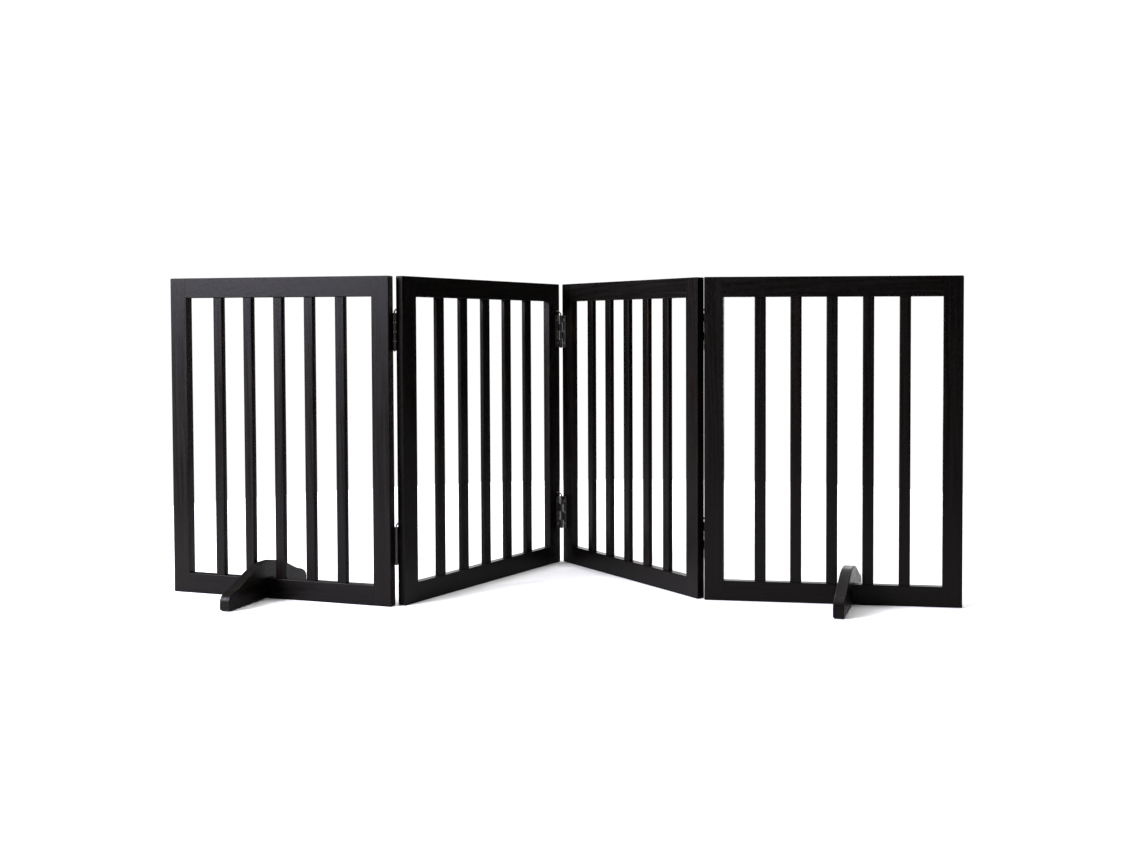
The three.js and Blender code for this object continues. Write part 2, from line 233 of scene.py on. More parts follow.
def bar_row(finish):
    """A row of rounded upright bars, centred on the panel, each with its own board number."""
    tree = bpy.data.node_groups.new("bar_row", "GeometryNodeTree")
    ask_for(
        tree, Bar_Count=BAR_COUNT, Bar_Pitch=BAR_PITCH, Bar_Width=BAR_WIDTH, Bar_Thickness=BAR_THICKNESS,
        Edge_Rounding=BAR_ROUNDING, Lower_End=0.0, Upper_End=PANEL_HEIGHT, First_Board=0.0,
    )
    recipe = Recipe(tree)
    size = recipe.size
    strip = recipe.node(
        "GeometryNodeCurvePrimitiveQuadrilateral", {"mode": "RECTANGLE"},
        {"Width": size("Bar Width"), "Height": size("Bar Thickness")},
    )
    section = recipe.node(
        "GeometryNodeFilletCurve", {"mode": "POLY"},
        {"Curve": strip, "Radius": size("Edge Rounding"), "Count": BAR_ROUNDING_STEPS,
         "Limit Radius": True},
    )
    foot = recipe.node("ShaderNodeCombineXYZ", {}, {2: size("Lower End")})
    head = recipe.node("ShaderNodeCombineXYZ", {}, {2: size("Upper End")})
    length = recipe.node("GeometryNodeCurvePrimitiveLine", {}, {"Start": foot, "End": head})
    bar = recipe.node(
        "GeometryNodeCurveToMesh", {}, {"Curve": length, "Profile Curve": section, "Fill Caps": True}
    )
    start = recipe.node("ShaderNodeCombineXYZ", {}, {0: (size("Bar Count") - 1) * size("Bar Pitch") * -0.5})
    step = recipe.node("ShaderNodeCombineXYZ", {}, {0: size("Bar Pitch")})
    places = recipe.node(
        "GeometryNodeMeshLine", {"mode": "OFFSET"},
        {"Count": size("Bar Count"), "Start Location": start, "Offset": step},
    )
    row = recipe.node("GeometryNodeInstanceOnPoints", {}, {"Points": places, "Instance": bar})
    board = recipe.node("GeometryNodeInputIndex") + size("First Board")
    row = recipe.node(
        "GeometryNodeStoreNamedAttribute", {"data_type": "FLOAT", "domain": "INSTANCE"},
        {"Geometry": row, "Name": "board", "Value": board},
    )
    solid = recipe.node("GeometryNodeRealizeInstances", {}, {"Geometry": row})
    stained = recipe.node("GeometryNodeSetMaterial", {}, {"Geometry": solid, "Material": finish})
    recipe.node("NodeGroupOutput", {}, {"Geometry": stained})
    return tree


def new_piece(name, mesh=None):
    """An object in the scene, at the origin."""
    piece = bpy.data.objects.new(name, mesh or bpy.data.meshes.new(name))
    bpy.context.scene.collection.objects.link(piece)
    return piece


def settle(piece):
    """Turns what a piece's modifiers make into its plain mesh."""
    depsgraph = bpy.context.evaluated_depsgraph_get()
    mesh = bpy.data.meshes.new_from_object(
        piece.evaluated_get(depsgraph), preserve_all_data_layers=True, depsgraph=depsgraph
    )
    mesh.name = piece.name
    piece.modifiers.clear()
    piece.data = mesh


def grow(piece, tree, **sizes):
    """Runs a tree on a piece with these sizes and keeps what it makes."""
    modifier = piece.modifiers.new(tree.name, "NODES")
    modifier.node_group = tree
    sockets = {item.name: item.identifier for item in tree.interface.items_tree}
    for name, value in sizes.items():
        modifier[sockets[name.replace("_", " ")]] = value
    settle(piece)


def fair(piece, crease=40):
    """Smooths the roundings into the flats, and keeps edges sharper than the crease."""
    piece.data.shade_smooth()
    piece.data.set_sharp_from_angle(angle=math.radians(crease))
    weigh = piece.modifiers.new("fair", "WEIGHTED_NORMAL")
    weigh.keep_sharp = True
    weigh.weight = FLATS_WEIGHT
    settle(piece)


def mark_wood(mesh, grain_axis, half_thickness, rounding, board=None, thickness_axis=1):
    """Writes how a board lies in its wood. The grain runs along its third axis, and edge is 1 in the
    middle of the roundings, where the lacquer is rubbed."""
    order = {2: (0, 1, 2), 0: (2, 1, 0), 1: (0, 2, 1)}[grain_axis]
    lies, rubs = [], []
    for vertex in mesh.vertices:
        lies += [vertex.co[axis] for axis in order]
        share = (abs(vertex.co[thickness_axis]) - half_thickness + rounding) / rounding
        rubs.append(max(0.0, 4 * share * (1 - share)))
    mesh.attributes.new("grain", "FLOAT_VECTOR", "POINT").data.foreach_set("vector", lies)
    mesh.attributes.new("edge", "FLOAT", "POINT").data.foreach_set("value", rubs)
    if board is not None:
        numbers = [board] * len(mesh.vertices)
        mesh.attributes.new("board", "FLOAT", "POINT").data.foreach_set("value", numbers)


def standing(node, degrees):
    """The place on the floor under the middle of a CAD part, turned by so many degrees."""
    low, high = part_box(node)
    middle = (low + high) / 2
    return Matrix.Translation((middle.x, middle.y, 0)) @ Matrix.Rotation(math.radians(degrees), 4, "Z")


def panel_place(panel):
    """Where a panel stands, by its top rail."""
    return standing(f"{panel}_top_rail", PANEL_TURN[panel])


def set_in_place(piece, place, body, slot, *nodes):
    """Sets a finished piece where it belongs, on the body that carries it."""
    piece.data.transform(place)
    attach(piece, body)
    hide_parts(*nodes)


wood = stained_wood()
bars_tree = bar_row(wood)
for order, panel in enumerate(PANEL_TURN):
    bars = new_piece(f"{panel}_bars")
    grow(
        bars, bars_tree, First_Board=BOARDS_PER_PANEL * order + FIRST_BAR_BOARD,
        Lower_End=RAIL_HEIGHT - BAR_TENON, Upper_End=PANEL_HEIGHT - RAIL_HEIGHT + BAR_TENON,
    )
    mark_wood(bars.data, 2, BAR_THICKNESS / 2, BAR_ROUNDING)
    fair(bars)
    names = [f"{panel}_bar_{number + 1}" for number in range(BAR_COUNT)]
    set_in_place(bars, panel_place(panel), panel, "stained_wood", *names)

# ---------------------------------------------------------------------------------------------
# Rails. A flat board joins the stiles at the top and at the bottom of each panel. It has five
# blind mortises for the bars, and its ends are dowelled and glued, flush with the stiles.

EDGE_ROUNDING = 1.2 * MM
CORNER_ROUNDING = 2.4 * MM
ROUNDING_STEPS = 4
# An edge whose two faces turn by more than this is a square one. A rounding's facets turn by less.
SQUARE_EDGE = math.radians(60)
MORTISE_DEPTH = 8 * MM
MORTISE_PLAY = 0.12 * MM
STILE_WIDTH = 36.5 * MM
WINDOW_SIDE = PANEL_WIDTH / 2 - STILE_WIDTH
GLUE_LINE = 0.04 * MM
SAW_FINENESS = 1e-7
FIRST_RAIL_BOARD = 6


def round_off(solid, edges, radius):
    """Rounds these edges of a board."""
    bmesh.ops.bevel(
        solid, geom=edges, offset=radius, offset_type="OFFSET", segments=ROUNDING_STEPS, profile=0.5,
        affect="EDGES", clamp_overlap=False,
    )


def square_rims(solid, thickness_axis):
    """The square edges all along the two faces of a board."""
    rims = []
    for edge in solid.edges:
        first, second = [vertex.co[thickness_axis] for vertex in edge.verts]
        if abs(first - second) < MM and edge.calc_face_angle() > SQUARE_EDGE:
            rims.append(edge)
    return rims


def glued_frame():
    """The four boards of a panel as one rounded block. Each board is cut from it, so all meet flush."""
    block = bmesh.new()
    side, depth = PANEL_WIDTH / 2, PANEL_THICKNESS / 2
    top, window_top = PANEL_HEIGHT, PANEL_HEIGHT - RAIL_HEIGHT
    outside = [(-side, 0), (side, 0), (side, top), (-side, top)]
    window = [
        (-WINDOW_SIDE, RAIL_HEIGHT), (WINDOW_SIDE, RAIL_HEIGHT),
        (WINDOW_SIDE, window_top), (-WINDOW_SIDE, window_top),
    ]
    rings = []
    for y in (-depth, depth):
        for corners in (outside, window):
            rings.append([block.verts.new((x, y, z)) for x, z in corners])
    front_out, front_in, back_out, back_in = rings
    for here in range(len(outside)):
        there = (here + 1) % len(outside)
        block.faces.new((front_out[here], front_out[there], front_in[there], front_in[here]))
        block.faces.new((back_out[there], back_out[here], back_in[here], back_in[there]))
        block.faces.new((front_out[there], front_out[here], back_out[here], back_out[there]))
        block.faces.new((front_in[here], front_in[there], back_in[there], back_in[here]))
    round_off(block, [block.edges.get(ends) for ends in zip(front_out, back_out)], CORNER_ROUNDING)
    round_off(block, square_rims(block, 1), EDGE_ROUNDING)
    bmesh.ops.recalc_face_normals(block, faces=block.faces)
    return block


def sawn_board(block, name, cuts):
    """A board sawn from the block. Each cut is a point on it and the way to the side that falls off."""
    board = block.copy()
    for point, off in cuts:
        everything = board.verts[:] + board.edges[:] + board.faces[:]
        sawn = bmesh.ops.bisect_plane(
            board, geom=everything, plane_co=point, plane_no=off, clear_outer=True, dist=SAW_FINENESS
        )
        rim = [part for part in sawn["geom_cut"] if isinstance(part, bmesh.types.BMEdge)]
        bmesh.ops.holes_fill(board, edges=rim, sides=0)
    bmesh.ops.recalc_face_normals(board, faces=board.faces)
    piece = new_piece(name)
    board.to_mesh(piece.data)
    board.free()
    piece.data.materials.append(wood)
    return piece


def combine(piece, operation, *tools):
    """Welds the tools' shapes onto a piece, or cuts them out of it, and throws the tools away."""
    for tool in tools:
        work = piece.modifiers.new("work", "BOOLEAN")
        work.operation, work.solver, work.object = operation, "EXACT", tool
    settle(piece)
    for tool in tools:
        bpy.data.objects.remove(tool)


frame_block = glued_frame()
rail_end = WINDOW_SIDE - GLUE_LINE
for order, panel in enumerate(PANEL_TURN):
    for number, rail in enumerate(("bottom", "top")):
        waste = (0, 0, 1 if rail == "bottom" else -1)
        cuts = [
            ((rail_end, 0, 0), (1, 0, 0)), ((-rail_end, 0, 0), (-1, 0, 0)),
            ((0, 0, PANEL_HEIGHT / 2), waste),
        ]
        board = sawn_board(frame_block, f"{panel}_{rail}_rail_board", cuts)
        mortises = new_piece("mortises")
        grow(
            mortises, bars_tree, Bar_Width=BAR_WIDTH + 2 * MORTISE_PLAY,
            Bar_Thickness=BAR_THICKNESS + 2 * MORTISE_PLAY, Edge_Rounding=BAR_ROUNDING + MORTISE_PLAY,
            Lower_End=RAIL_HEIGHT - MORTISE_DEPTH, Upper_End=PANEL_HEIGHT - RAIL_HEIGHT + MORTISE_DEPTH,
        )
        combine(board, "DIFFERENCE", mortises)
        board_number = BOARDS_PER_PANEL * order + FIRST_RAIL_BOARD + number
        mark_wood(board.data, 0, PANEL_THICKNESS / 2, EDGE_ROUNDING, board=board_number)
        fair(board)
        set_in_place(board, panel_place(panel), panel, "stained_wood", f"{panel}_{rail}_rail")

# ---------------------------------------------------------------------------------------------
# Stiles. The upright boards at both ends of a panel are of the same stock as the rails and run
# its full height. They carry the hinges, and their outer corners are sanded round.

FIRST_STILE_BOARD = 8

stile_edge = WINDOW_SIDE + GLUE_LINE
for order, panel in enumerate(PANEL_TURN):
    for number, (stile, way) in enumerate((("left", 1), ("right", -1))):
        cuts = [((-way * stile_edge, 0, 0), (way, 0, 0))]
        board = sawn_board(frame_block, f"{panel}_{stile}_stile_board", cuts)
        board_number = BOARDS_PER_PANEL * order + FIRST_STILE_BOARD + number
        mark_wood(board.data, 2, PANEL_THICKNESS / 2, EDGE_ROUNDING, board=board_number)
        fair(board)
        set_in_place(board, panel_place(panel), panel, "stained_wood", f"{panel}_{stile}_stile")
frame_block.free()

# ---------------------------------------------------------------------------------------------
# Hinge leaves. Two at each hinge are stamped from dark plated steel sheet with three countersunk
# holes, and two tabs of each are rolled into knuckles round the pin. Screws hold them to the wood.

HINGE_HEIGHT = 70 * MM
LEAF_WIDTH = 16 * MM
SHEET = 1.4 * MM
LEAF_CORNER = 2 * MM
CORNER_STEPS = 8
LEAF_BACK = 3.5 * MM
KNUCKLE_COUNT = 4
KNUCKLE_RADIUS = 3.2 * MM
KNUCKLE_PLAY = 0.3 * MM
KNUCKLE_STEPS = 36
ROLL_DEGREES = 297
TAB_LAP = 1.5 * MM
SCREW_PLACES = [-25 * MM, 0, 25 * MM]
SCREW_LINE = 9.8 * MM
HEAD_RADIUS = 3.2 * MM
SHANK_RADIUS = 2 * MM
HOLE_PLAY = 0.12 * MM
HOLE_SIDES = 40
SHEET_EDGE = 0.22 * MM
METAL_CREASE = 30

# Each corner of the zigzag: the panels it joins, the side its hinges are on, and the panel that
# the pins' tails lie over.
CORNERS = {
    "left": {"left": "panel_1", "right": "panel_2", "front": False, "tail": "right"},
    "middle": {"left": "panel_2", "right": "panel_3", "front": True, "tail": "left"},
    "right": {"left": "panel_3", "right": "panel_4", "front": False, "tail": "left"},
}


def plated_steel(name, dark, bright, roughness):
    """Dark plated steel, lighter along its edges, where rubbed plating is mixed with a painted highlight,
    and lighter in fine scratches.
    """
    finish, recipe = open_finish(name)
    place = recipe.node("ShaderNodeTexCoord", out="Object")
    cloud = recipe.noise(place, 90.0, 4, 0.6)
    speck = recipe.noise(place, 1400.0, 2, 0.6)
    scratch = recipe.band(recipe.noise(recipe.stretched(place, 900, 900, 130), 1.0, 3, 0.7), 0.60, 0.72)
    edge = recipe.band(recipe.node("ShaderNodeNewGeometry", out="Pointiness"), 0.515, 0.60)
    # Lighter along the edges: partly rubbed plating, partly a painted highlight where the edges catch the
    # light.
    edge_wear_and_highlight = recipe.band(edge + cloud * 0.3, 0.45, 0.95)
    plating = recipe.blend(recipe.band(cloud, 0.35, 0.70), dark, (*[0.85 * shade for shade in dark[:3]], 1))
    # The edges are painted lighter here, as rubbed plating and as a painted highlight.
    plating = recipe.blend(edge_wear_and_highlight * 0.8, plating, bright)
    plating = recipe.blend(scratch * 0.35, plating, bright)
    sheen = roughness + cloud * 0.12 + speck * 0.06 - edge_wear_and_highlight * 0.06
    close_finish(
        recipe, speck * 0.4 + cloud * 0.4 - scratch * 0.3, 0.00002,
        Base_Color=plating, Metallic=0.7, Roughness=sheen,
    )
    return finish


def extruded(name, outline, thickness_axis, start, end):
    """A solid with this outline, between start and end along one axis."""
    solid = bmesh.new()
    across, up = [axis for axis in range(3) if axis != thickness_axis]
    corners = []
    for first, second in outline:
        corner = [0.0, 0.0, 0.0]
        corner[across], corner[up], corner[thickness_axis] = first, second, start
        corners.append(solid.verts.new(corner))
    sheet = solid.faces.new(corners)
    travel = Vector((0, 0, 0))
    travel[thickness_axis] = end - start
    raised = bmesh.ops.extrude_face_region(solid, geom=[sheet], use_keep_orig=True)
    far_side = [part for part in raised["geom"] if isinstance(part, bmesh.types.BMVert)]
    bmesh.ops.translate(solid, vec=travel, verts=far_side)
    bmesh.ops.recalc_face_normals(solid, faces=solid.faces)
    piece = new_piece(name)
    solid.to_mesh(piece.data)
    solid.free()
    return piece


def arc(centre, radius, start, end, steps):
    """Points on an arc, from one angle to another, in degrees."""
    points = []
    for step in range(steps + 1):
        angle = math.radians(start + (end - start) * step / steps)
        points.append((centre[0] + radius * math.cos(angle), centre[1] + radius * math.sin(angle)))
    return points


def ease_edges(piece, width, segments):
    """Takes the sharpness off a piece's square edges."""
    ease = piece.modifiers.new("ease", "BEVEL")
    ease.width, ease.segments, ease.limit_method, ease.angle_limit = width, segments, "ANGLE", SQUARE_EDGE
    settle(piece)


def rolled_leaf():
    """One leaf about its pin. The plate lies along +X against the wood, and the knuckles stand off it."""
    half, bore = HINGE_HEIGHT / 2, KNUCKLE_RADIUS - SHEET
    corner = LEAF_WIDTH - LEAF_CORNER
    plate = extruded(
        "leaf",
        [(LEAF_BACK, -half)]
        + arc((corner, -half + LEAF_CORNER), LEAF_CORNER, -90, 0, CORNER_STEPS)
        + arc((corner, half - LEAF_CORNER), LEAF_CORNER, 0, 90, CORNER_STEPS)
        + [(LEAF_BACK, half)],
        1, -KNUCKLE_RADIUS, -bore,
    )
    lap = LEAF_BACK + TAB_LAP
    roll = (
        [(lap, -KNUCKLE_RADIUS)]
        + arc((0, 0), KNUCKLE_RADIUS, -90, -90 - ROLL_DEGREES, KNUCKLE_STEPS)
        + arc((0, 0), bore, -90 - ROLL_DEGREES, -90, KNUCKLE_STEPS)
        + [(lap, -bore)]
    )
    pitch = HINGE_HEIGHT / KNUCKLE_COUNT
    for knuckle in range(0, KNUCKLE_COUNT, 2):
        bottom = -half + knuckle * pitch
        low = bottom + (KNUCKLE_PLAY / 2 if knuckle else 0)
        tab = extruded("tab", roll, 2, low, bottom + pitch - KNUCKLE_PLAY / 2)
        combine(plate, "UNION", tab)
    depth = 2 * SHEET
    slope = (HEAD_RADIUS - SHANK_RADIUS) / SHEET
    middle = (HEAD_RADIUS + SHANK_RADIUS) / 2 + HOLE_PLAY
    cutters = []
    for height in SCREW_PLACES:
        centre = Matrix.Translation((SCREW_LINE, -bore - SHEET / 2, height))
        cone = bmesh.new()
        bmesh.ops.create_cone(
            cone, cap_ends=True, segments=HOLE_SIDES, radius1=middle - slope * depth / 2,
            radius2=middle + slope * depth / 2, depth=depth,
            matrix=centre @ Matrix.Rotation(-math.pi / 2, 4, "X"),
        )
        cutter = new_piece("countersink")
        cone.to_mesh(cutter.data)
        cone.free()
        cutters.append(cutter)
    combine(plate, "DIFFERENCE", *cutters)
    ease_edges(plate, SHEET_EDGE, segments=2)
    return plate


def hinge_place(corner, level, side):
    """A hinge's frame for the leaf or pin on one side's panel: X along the wood, Y away from it."""
    joined = CORNERS[corner]
    axis = next(Vector(joint["pos_m"]) for joint in frame["joints"] if joint["name"] == f"{corner}_fold")
    low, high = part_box(f"{corner}_{level}_hinge_{side}_leaf")
    centre = Matrix.Translation((axis.x, axis.y, (low.z + high.z) / 2))
    degrees = PANEL_TURN[joined[side]] + (180 if joined["front"] else 0)
    return centre @ Matrix.Rotation(math.radians(degrees), 4, "Z")


def leaf_turned(corner, side):
    """Whether a leaf points along -X of its hinge's frame, and so is the same leaf upside down."""
    return (side == "left") != CORNERS[corner]["front"]


leaf_steel = plated_steel("dark_plated_hinge_steel", (0.062, 0.061, 0.056, 1), (0.32, 0.31, 0.29, 1), 0.44)
leaf_pattern = rolled_leaf()
half_turn = Matrix.Rotation(math.pi, 4, "Y")
for corner, joined in CORNERS.items():
    for level in ("upper", "lower"):
        for side in ("left", "right"):
            leaf = new_piece(f"{corner}_{level}_{side}_hinge_plate", leaf_pattern.data.copy())
            leaf.data.materials.clear()
            leaf.data.materials.append(leaf_steel)
            place = hinge_place(corner, level, side)
            if leaf_turned(corner, side):
                place = place @ half_turn
            fair(leaf, METAL_CREASE)
            set_in_place(leaf, place, joined[side], "hinge_steel", f"{corner}_{level}_hinge_{side}_leaf")
bpy.data.objects.remove(leaf_pattern)

# ---------------------------------------------------------------------------------------------
# Screws. Three short countersunk steel screws with a cross recess hold each leaf. They are driven
# by hand, so each recess stops at its own angle.

HEAD_SIDES = 32
DOME = 0.35 * MM
DOME_RINGS = 5
# The face of a head is every point of it that lies within this of its top.
FACE_SLACK = 0.1 * MM
SHANK_SIDES = 20
SHANK_LENGTH = 9 * MM
SHANK_TIP = 1.1 * MM
# The shank starts inside the head, at this share of its depth, with this share of the neck's radius.
SHANK_START = 0.7
SHANK_SHARE = 0.9
RECESS_LENGTH = 3.6 * MM
RECESS_WIDTH = 0.85 * MM
RECESS_DEPTH = 0.8 * MM
SCREW_SEED = 7


def screw_set(finish):
    """A screw at each point of a mesh, facing the way that the point says, turned at random."""
    tree = bpy.data.node_groups.new("screw_set", "GeometryNodeTree")
    tree.interface.new_socket("Geometry", in_out="INPUT", socket_type="NodeSocketGeometry")
    ask_for(
        tree, Head_Radius=HEAD_RADIUS, Neck_Radius=SHANK_RADIUS, Head_Depth=SHEET, Dome=DOME,
        Shank_Length=SHANK_LENGTH, Tip_Radius=SHANK_TIP, Recess_Length=RECESS_LENGTH,
        Recess_Width=RECESS_WIDTH, Recess_Depth=RECESS_DEPTH, Seed=SCREW_SEED,
    )
    recipe = Recipe(tree)
    size = recipe.size

    def moved(shape, height):
        lift = recipe.node("ShaderNodeCombineXYZ", {}, {2: height})
        return recipe.node("GeometryNodeTransform", {}, {"Geometry": shape, "Translation": lift})

    head = recipe.node(
        "GeometryNodeMeshCone", {"fill_type": "TRIANGLE_FAN"},
        {"Vertices": HEAD_SIDES, "Side Segments": 1, "Fill Segments": DOME_RINGS,
         "Radius Top": size("Head Radius"), "Radius Bottom": size("Neck Radius"),
         "Depth": size("Head Depth")},
    )
    head = moved(head, size("Head Depth") * -1)
    spot = recipe.node("GeometryNodeInputPosition")
    x, y, z = [recipe.node("ShaderNodeSeparateXYZ", {}, {0: spot}, out=axis) for axis in "XYZ"]
    reach = (x * x + y * y) / (size("Head Radius") * size("Head Radius"))
    face = recipe.node("FunctionNodeCompare", {"operation": "GREATER_THAN"}, {0: z, 1: -FACE_SLACK})
    rise = recipe.node("ShaderNodeCombineXYZ", {}, {2: (1 - reach) * size("Dome")})
    head = recipe.node("GeometryNodeSetPosition", {}, {"Geometry": head, "Selection": face, "Offset": rise})
    shank = recipe.node(
        "GeometryNodeMeshCone", {},
        {"Vertices": SHANK_SIDES, "Radius Top": size("Neck Radius") * SHANK_SHARE,
         "Radius Bottom": size("Tip Radius"), "Depth": size("Shank Length")},
    )
    shank = moved(shank, (size("Shank Length") + size("Head Depth") * SHANK_START) * -1)
    arms = []
    for long_axis in (0, 1):
        arm = recipe.node(
            "ShaderNodeCombineXYZ", {},
            {long_axis: size("Recess Length"), 1 - long_axis: size("Recess Width"),
             2: size("Recess Depth") * 2},
        )
        arms.append(moved(recipe.node("GeometryNodeMeshCube", {}, {"Size": arm}), size("Dome")))
    body = recipe.node(
        "GeometryNodeMeshBoolean", {"operation": "UNION", "solver": "EXACT"}, {"Mesh 2": [head, shank]}
    )
    screw = recipe.node(
        "GeometryNodeMeshBoolean", {"operation": "DIFFERENCE", "solver": "EXACT"},
        {"Mesh 1": body, "Mesh 2": arms},
    )
    facing = recipe.node(
        "GeometryNodeInputNamedAttribute", {"data_type": "FLOAT_VECTOR"}, {"Name": "facing"}
    )
    upright = recipe.node("FunctionNodeAlignRotationToVector", {"axis": "Z"}, {"Vector": facing})
    angle = recipe.node(
        "FunctionNodeRandomValue", {"data_type": "FLOAT"},
        {2: 0.0, 3: math.pi / 2, "Seed": size("Seed")}, out=1,
    )
    twist = recipe.node("FunctionNodeAxisAngleToRotation", {}, {"Axis": (0, 0, 1), "Angle": angle})
    stance = recipe.node(
        "FunctionNodeRotateRotation", {"rotation_space": "LOCAL"}, {"Rotation": upright, "Rotate By": twist}
    )
    row = recipe.node(
        "GeometryNodeInstanceOnPoints", {},
        {"Points": size("Geometry"), "Instance": screw, "Rotation": stance},
    )
    solid = recipe.node("GeometryNodeRealizeInstances", {}, {"Geometry": row})
    plated = recipe.node("GeometryNodeSetMaterial", {}, {"Geometry": solid, "Material": finish})
    recipe.node("NodeGroupOutput", {}, {"Geometry": plated})
    return tree


screw_steel = plated_steel("dark_plated_screw_steel", (0.22, 0.21, 0.19, 1), (0.50, 0.48, 0.44, 1), 0.38)
screws_tree = screw_set(screw_steel)
for order, panel in enumerate(PANEL_TURN):
    centres, ways = [], []
    for corner, joined in CORNERS.items():
        for side in ("left", "right"):
            if joined[side] != panel:
                continue
            along = -SCREW_LINE if leaf_turned(corner, side) else SCREW_LINE
            for level in ("upper", "lower"):
                place = hinge_place(corner, level, side)
                for height in SCREW_PLACES:
                    centres.append(place @ Vector((along, SHEET - KNUCKLE_RADIUS, height)))
                    ways.append(place.to_3x3() @ Vector((0, 1, 0)))
    screws = new_piece(f"{panel}_hinge_screws")
    screws.data.from_pydata(centres, [], [])
    facing = screws.data.attributes.new("facing", "FLOAT_VECTOR", "POINT")
    for way, mark in zip(ways, facing.data):
        mark.vector = way
    grow(screws, screws_tree, Seed=SCREW_SEED + order)
    fair(screws, METAL_CREASE)
    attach(screws, panel)

# ---------------------------------------------------------------------------------------------
# Hinge pins. Each is a length of dark plated wire dropped through four knuckles. Its top is bent
# over into a short tail, by which it is drawn out to part the panels.

PIN_RADIUS = 1.42 * MM
PIN_FOOT = -36.5 * MM
PIN_STATIONS = [-30 * MM, 0, 30 * MM]
PIN_SHOULDER = 36 * MM
TAIL_BEND = 6 * MM
TAIL_RISE = 9.5 * MM
TAIL_REACH = 17 * MM
TAIL_STEPS = 24
WIRE_FINENESS = 5
WIRE_CREASE = 50
DISH_STEPS = 6
DISH_CENTRE = 0.02


def rod(name, path, radius):
    """A round wire along a path. Both of its cut ends are dished, with a rim that tapers a little."""
    points = [(Vector(spot), 1.0) for spot in path]
    for end, inward in ((0, 1), (-1, -2)):
        tip = points[end][0]
        way = (points[inward][0] - tip).normalized()
        points[end] = (tip + way * radius, 1.0)
        dish = []
        for step in range(DISH_STEPS):
            spread = math.sin(math.pi / 2 * step / DISH_STEPS)
            dish.append((tip + way * radius * (1 - spread), spread or DISH_CENTRE))
        points = dish + points if end == 0 else points + dish[::-1]
    line = bpy.data.curves.new(name, "CURVE")
    line.dimensions, line.use_fill_caps = "3D", True
    line.bevel_depth, line.bevel_resolution = radius, WIRE_FINENESS
    spline = line.splines.new("POLY")
    spline.points.add(len(points) - 1)
    for point, (spot, share) in zip(spline.points, points):
        point.co, point.radius = (*spot, 1), share
    piece = new_piece(name, line)
    mesh = bpy.data.meshes.new_from_object(piece)
    bpy.data.objects.remove(piece)
    return new_piece(name, mesh)


pin_steel = plated_steel("dark_plated_pin_wire", (0.13, 0.122, 0.108, 1), (0.50, 0.48, 0.44, 1), 0.32)
for corner, joined in CORNERS.items():
    for level in ("upper", "lower"):
        place = hinge_place(corner, level, joined["tail"])
        reach = -TAIL_REACH if leaf_turned(corner, joined["tail"]) else TAIL_REACH
        path = [(0, 0, height) for height in (PIN_FOOT, *PIN_STATIONS)]
        for step in range(TAIL_STEPS + 1):
            share = step / TAIL_STEPS
            rise = 2 * share * (1 - share) * TAIL_BEND + share * share * TAIL_RISE
            path.append((reach * share * share, 0, PIN_SHOULDER + rise))
        pin = rod(f"{corner}_{level}_pull_pin", path, PIN_RADIUS)
        pin.data.materials.append(pin_steel)
        fair(pin, WIRE_CREASE)
        set_in_place(pin, place, f"{corner}_{level}_pin", "pin_steel", f"{corner}_{level}_hinge_pin")

# ---------------------------------------------------------------------------------------------
# Feet. A foot is one thick hardwood board, sawn to an S-curve that climbs from a blunt toe at each
# end to a hump in the middle. The slot under the hump drops over the bottom rail and alone holds it.

FOOT_LENGTH = 250 * MM
FOOT_BOTTOM = 2 * MM
FOOT_TOP = 69 * MM
FOOT_THICKNESS = 20.5 * MM
FOOT_ROUNDING = 1.6 * MM
TOE_RADIUS = 3 * MM
TOE_STEPS = 6
TOE_TOP = 16 * MM
NOSE_HEIGHT = 37 * MM
NOSE_CORNER = 31 * MM
NOSE_DEPTH = 26 * MM
HUMP_HALF_WIDTH = 8 * MM
LOWER_EASE = 0.18
UPPER_EASE = 0.38
SLOT_WIDTH = 18.5 * MM
SLOT_TOP = 38.4 * MM
CURVE_STEPS = 16
FIRST_FOOT_BOARD = 51.0
# How each foot is turned: with the panel that it stands under, and by how far it sits askew there.
FOOT_TURN = {"left_foot": PANEL_TURN["panel_1"] + 4, "right_foot": PANEL_TURN["panel_4"] - 5}


def foot_side():
    """Half a foot's outline, from the slot along the sole, round the toe and up to the hump."""
    toe = FOOT_LENGTH / 2
    points = [(SLOT_WIDTH / 2, SLOT_TOP), (SLOT_WIDTH / 2, FOOT_BOTTOM)]
    points += arc((toe - TOE_RADIUS, FOOT_BOTTOM + TOE_RADIUS), TOE_RADIUS, -90, 0, TOE_STEPS)
    for step in range(CURVE_STEPS + 1):
        share = step / CURVE_STEPS
        rise = 2 * share * (1 - share) * (NOSE_CORNER - TOE_TOP) + share * share * (NOSE_HEIGHT - TOE_TOP)
        points.append((toe - NOSE_DEPTH * share * share, TOE_TOP + rise))
    shoulder = toe - NOSE_DEPTH
    run, climb = shoulder - HUMP_HALF_WIDTH, FOOT_TOP - NOSE_HEIGHT
    lead = (NOSE_HEIGHT - NOSE_CORNER) * LOWER_EASE * run / NOSE_DEPTH
    for step in range(1, 2 * CURVE_STEPS + 1):
        share = step / (2 * CURVE_STEPS)
        early, late = 3 * share * (1 - share) ** 2, 3 * share ** 2 * (1 - share)
        level = shoulder - run * (early * LOWER_EASE + late * (1 - UPPER_EASE) + share ** 3)
        points.append((level, NOSE_HEIGHT + early * lead + (late + share ** 3) * climb))
    return points


